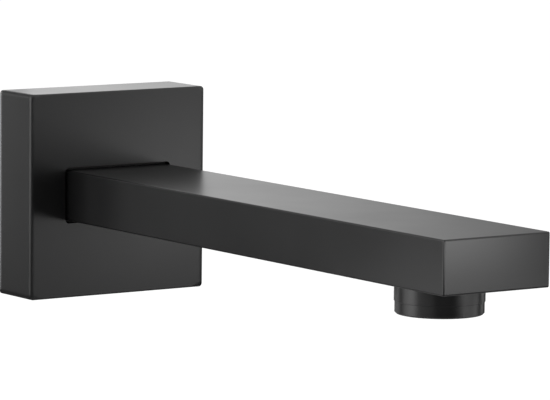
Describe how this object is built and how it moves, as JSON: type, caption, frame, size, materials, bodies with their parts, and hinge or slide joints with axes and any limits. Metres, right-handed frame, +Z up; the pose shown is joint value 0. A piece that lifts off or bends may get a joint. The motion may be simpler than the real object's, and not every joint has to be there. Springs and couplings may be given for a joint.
{
  "type": "bath spout",
  "caption": "Wall spout for a bath: a flat rectangular arm on a deep square wall plate, with a round downward outlet and aerator near its tip.",
  "frame": {"origin": "where the inlet's axis meets the face of the wall, in the middle of the plate's back", "axes": "+Y into the wall along the inlet thread, +Z up, +X to the right as seen from the front; the arm reaches out along -Y"},
  "size_m": [0.06, 0.215, 0.06],
  "materials": {
    "black_finish": "satin black coat on brass",
    "plain_brass": "machined",
    "seal_rubber": "matte black rubber",
    "washer_rubber": "matte black rubber",
    "gasket_foam": "closed-cell foam",
    "insert_plastic": "moulded acetal",
    "grid_plastic": "moulded black acetal",
    "mesh_steel": "woven stainless wire",
    "screw_steel": "stainless"
  },
  "bodies": {
    "root": {"spout_arm": "black_finish", "wall_plate": "black_finish", "plate_seal": "seal_rubber", "wall_gasket": "gasket_foam", "wall_nipple": "plain_brass", "wall_washer": "washer_rubber", "spigot_o_ring_rear": "seal_rubber", "spigot_o_ring_front": "seal_rubber", "arm_grub_screw": "screw_steel", "aerator_housing": "black_finish", "aerator_washer": "seal_rubber", "inlet_strainer": "insert_plastic", "jet_plate": "insert_plastic", "mixing_body": "insert_plastic", "upper_mesh": "mesh_steel", "mesh_spacer": "insert_plastic", "lower_mesh": "mesh_steel", "outlet_grid": "grid_plastic"}
  },
  "joints": []
}
